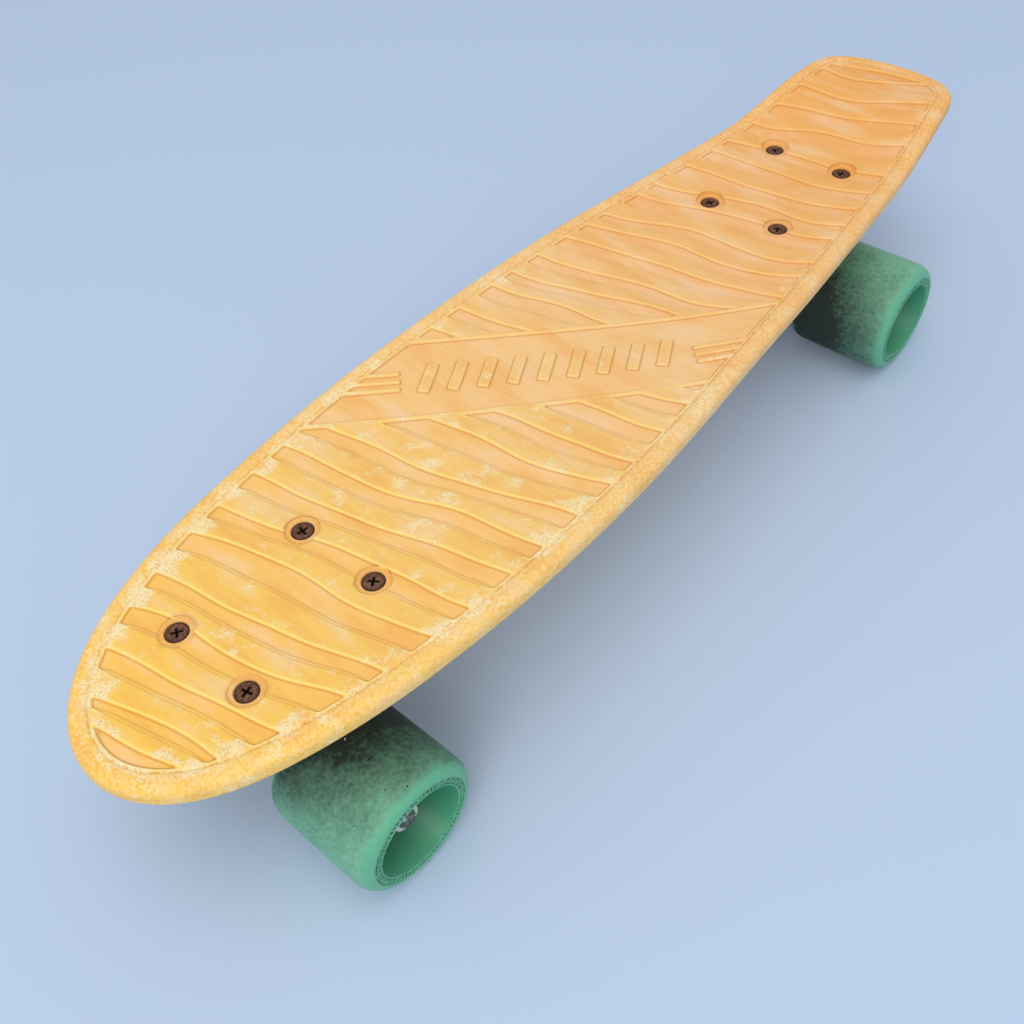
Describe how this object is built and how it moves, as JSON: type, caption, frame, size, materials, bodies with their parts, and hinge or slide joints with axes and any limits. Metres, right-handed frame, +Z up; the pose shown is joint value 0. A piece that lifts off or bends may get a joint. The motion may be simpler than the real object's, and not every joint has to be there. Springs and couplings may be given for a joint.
{
  "type": "cruiser skateboard",
  "caption": "Small cruiser skateboard: moulded plastic deck with a wavy grip texture and kicktail, on turning kingpin trucks with soft wide wheels.",
  "frame": {"origin": "on the ground, under the middle of the board's length, on its centre plane", "axes": "+X towards the nose, +Y towards the rider's left, +Z up"},
  "size_m": [0.5716, 0.1634, 0.1061],
  "materials": {
    "deck_polypropylene": "moulded amber plastic, satin, scuffed pale along the raised edges",
    "rusty_steel": "cross-recessed steel, browned with rust",
    "zinc_steel": "dull zinc plate",
    "cast_aluminium": "tumbled casting",
    "wheel_urethane": "poured green urethane, worn and grimy on the tread, glossy inside the hub",
    "bushing_urethane": "black, matt",
    "bearing_steel": "ground steel"
  },
  "bodies": {
    "board": {"deck": "deck_polypropylene", "front_deck_bolt_1": "rusty_steel", "front_deck_bolt_2": "rusty_steel", "front_deck_bolt_3": "rusty_steel", "front_deck_bolt_4": "rusty_steel", "front_lock_nut_1": "zinc_steel", "front_lock_nut_2": "zinc_steel", "front_lock_nut_3": "zinc_steel", "front_lock_nut_4": "zinc_steel", "front_baseplate": "cast_aluminium", "front_pivot_cup": "bushing_urethane", "front_kingpin": "zinc_steel", "front_kingpin_nut": "zinc_steel", "front_boardside_cup_washer": "zinc_steel", "front_boardside_bushing": "bushing_urethane", "front_roadside_bushing": "bushing_urethane", "front_roadside_cup_washer": "zinc_steel", "rear_deck_bolt_1": "rusty_steel", "rear_deck_bolt_2": "rusty_steel", "rear_deck_bolt_3": "rusty_steel", "rear_deck_bolt_4": "rusty_steel", "rear_lock_nut_1": "zinc_steel", "rear_lock_nut_2": "zinc_steel", "rear_lock_nut_3": "zinc_steel", "rear_lock_nut_4": "zinc_steel", "rear_baseplate": "cast_aluminium", "rear_pivot_cup": "bushing_urethane", "rear_kingpin": "zinc_steel", "rear_kingpin_nut": "zinc_steel", "rear_boardside_cup_washer": "zinc_steel", "rear_boardside_bushing": "bushing_urethane", "rear_roadside_bushing": "bushing_urethane", "rear_roadside_cup_washer": "zinc_steel"},
    "front_truck": {"front_hanger": "cast_aluminium", "front_axle": "zinc_steel", "front_left_speed_washer": "zinc_steel", "front_left_axle_nut": "zinc_steel", "front_right_speed_washer": "zinc_steel", "front_right_axle_nut": "zinc_steel"},
    "rear_truck": {"rear_hanger": "cast_aluminium", "rear_axle": "zinc_steel", "rear_left_speed_washer": "zinc_steel", "rear_left_axle_nut": "zinc_steel", "rear_right_speed_washer": "zinc_steel", "rear_right_axle_nut": "zinc_steel"},
    "front_left_rolling_wheel": {"front_left_wheel": "wheel_urethane", "front_left_inner_bearing": "bearing_steel", "front_left_outer_bearing": "bearing_steel"},
    "front_right_rolling_wheel": {"front_right_wheel": "wheel_urethane", "front_right_inner_bearing": "bearing_steel", "front_right_outer_bearing": "bearing_steel"},
    "rear_left_rolling_wheel": {"rear_left_wheel": "wheel_urethane", "rear_left_inner_bearing": "bearing_steel", "rear_left_outer_bearing": "bearing_steel"},
    "rear_right_rolling_wheel": {"rear_right_wheel": "wheel_urethane", "rear_right_inner_bearing": "bearing_steel", "rear_right_outer_bearing": "bearing_steel"}
  },
  "joints": [
    {"name": "front_steer", "type": "hinge", "parent": "board", "child": "front_truck", "pos_m": [0.22705, 0, 0.064], "axis": [0.885, 0, 0.4656], "range_deg": [-15, 15], "stiffness_Nm_per_rad": 80, "deforming": ["front_boardside_bushing", "front_roadside_bushing"]},
    {"name": "rear_steer", "type": "hinge", "parent": "board", "child": "rear_truck", "pos_m": [-0.18355, 0, 0.064], "axis": [-0.885, 0, 0.4656], "range_deg": [-15, 15], "stiffness_Nm_per_rad": 80, "deforming": ["rear_boardside_bushing", "rear_roadside_bushing"]},
    {"name": "front_left_roll", "type": "hinge", "parent": "front_truck", "child": "front_left_rolling_wheel", "pos_m": [0.21255, 0.0536, 0.03], "axis": [0, 1, 0], "continuous": true},
    {"name": "front_right_roll", "type": "hinge", "parent": "front_truck", "child": "front_right_rolling_wheel", "pos_m": [0.21255, -0.0536, 0.03], "axis": [0, 1, 0], "continuous": true},
    {"name": "rear_left_roll", "type": "hinge", "parent": "rear_truck", "child": "rear_left_rolling_wheel", "pos_m": [-0.16905, 0.0536, 0.03], "axis": [0, 1, 0], "continuous": true},
    {"name": "rear_right_roll", "type": "hinge", "parent": "rear_truck", "child": "rear_right_rolling_wheel", "pos_m": [-0.16905, -0.0536, 0.03], "axis": [0, 1, 0], "continuous": true}
  ]
}
